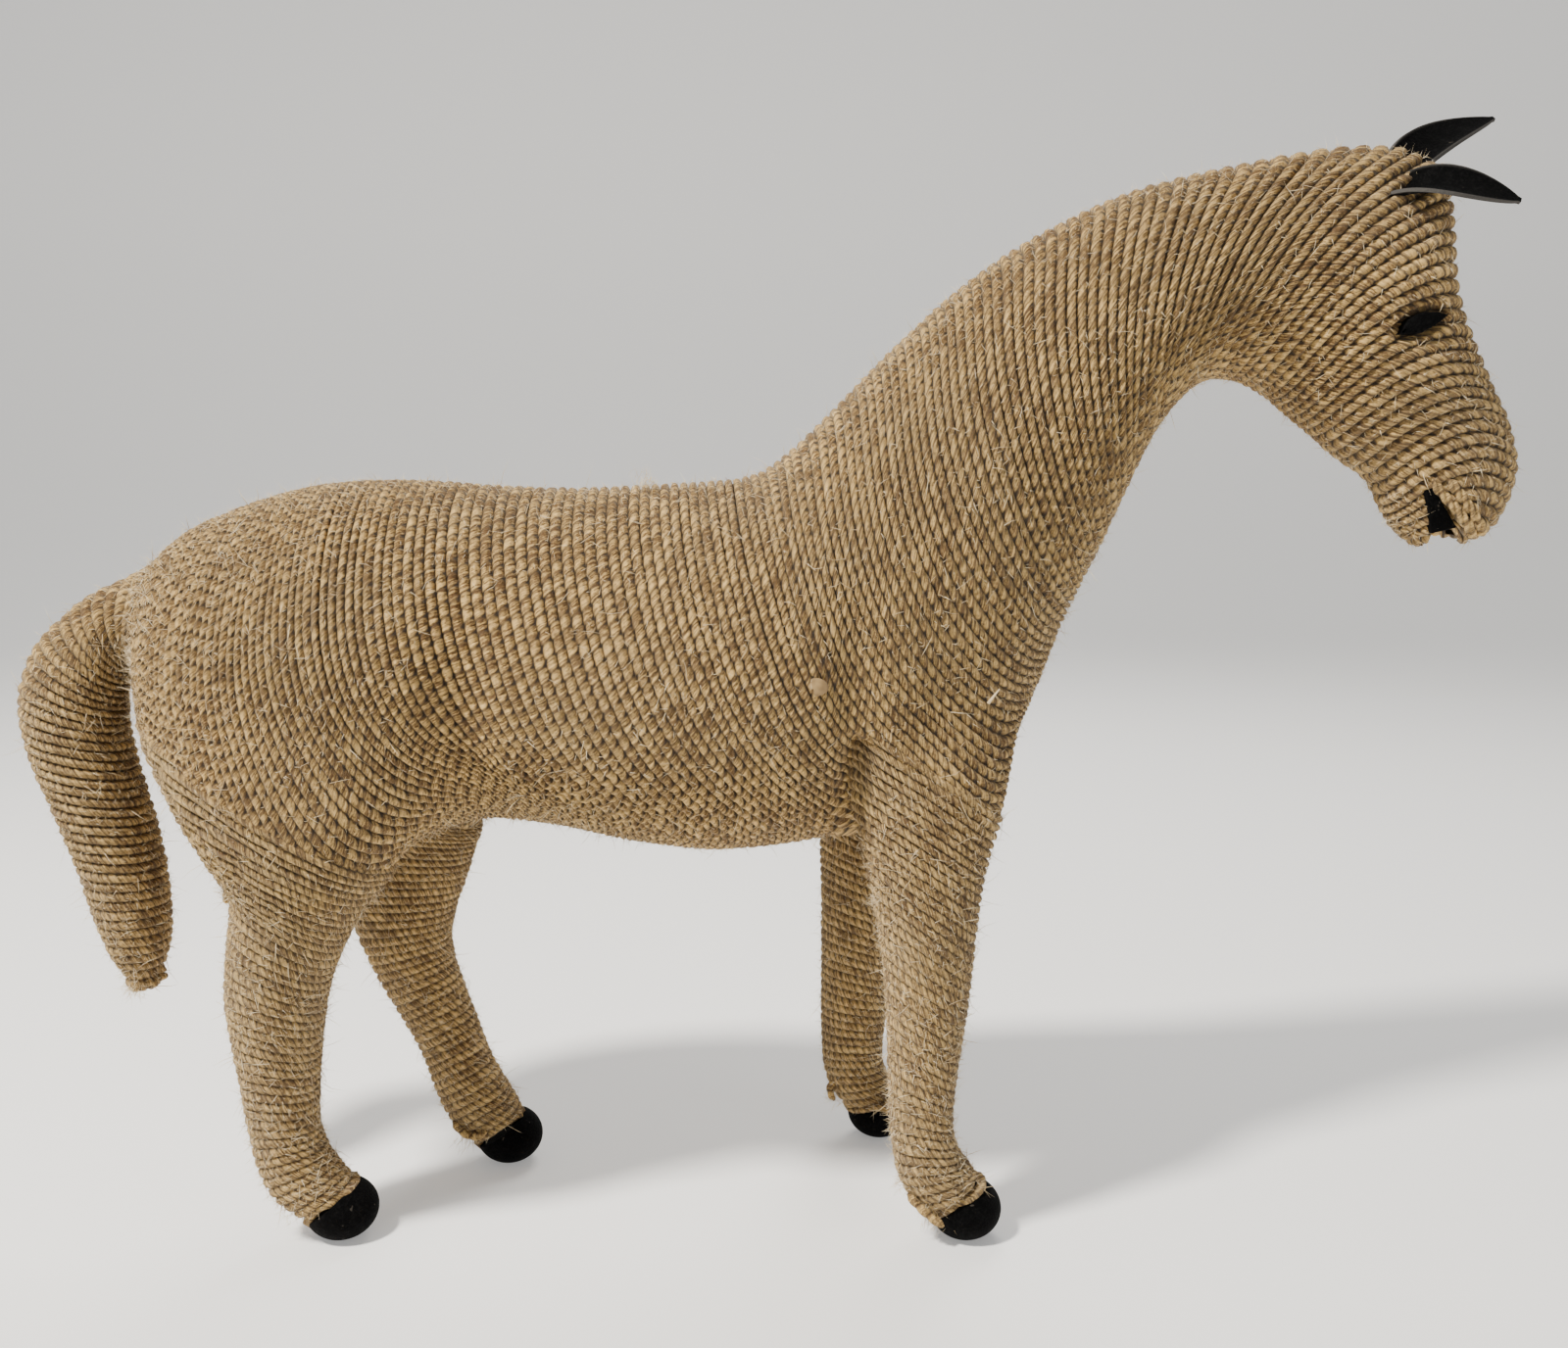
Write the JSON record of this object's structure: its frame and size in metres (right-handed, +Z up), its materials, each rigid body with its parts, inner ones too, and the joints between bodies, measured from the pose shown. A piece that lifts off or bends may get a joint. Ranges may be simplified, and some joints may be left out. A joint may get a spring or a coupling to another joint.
{
  "type": "wound jute horse figure",
  "caption": "Standing horse figure wound all over with jute cord, with black felt ears, eyes, mouth lining and hooves",
  "frame": {"origin": "on the floor, under the middle of the figure's length and width", "axes": "+X runs from the tail to the muzzle, +Y is the horse's left side, +Z is up"},
  "size_m": [0.6048, 0.13, 0.4501],
  "materials": {
    "jute_cord": "matte",
    "black_felt": "matte"
  },
  "bodies": {
    "root": {"wound_body": "jute_cord", "ear_right": "black_felt", "ear_left": "black_felt", "eye_right": "black_felt", "eye_left": "black_felt", "mouth_lining": "black_felt", "hoof_front_right": "black_felt", "hoof_front_left": "black_felt", "hoof_hind_right": "black_felt", "hoof_hind_left": "black_felt"}
  },
  "joints": []
}
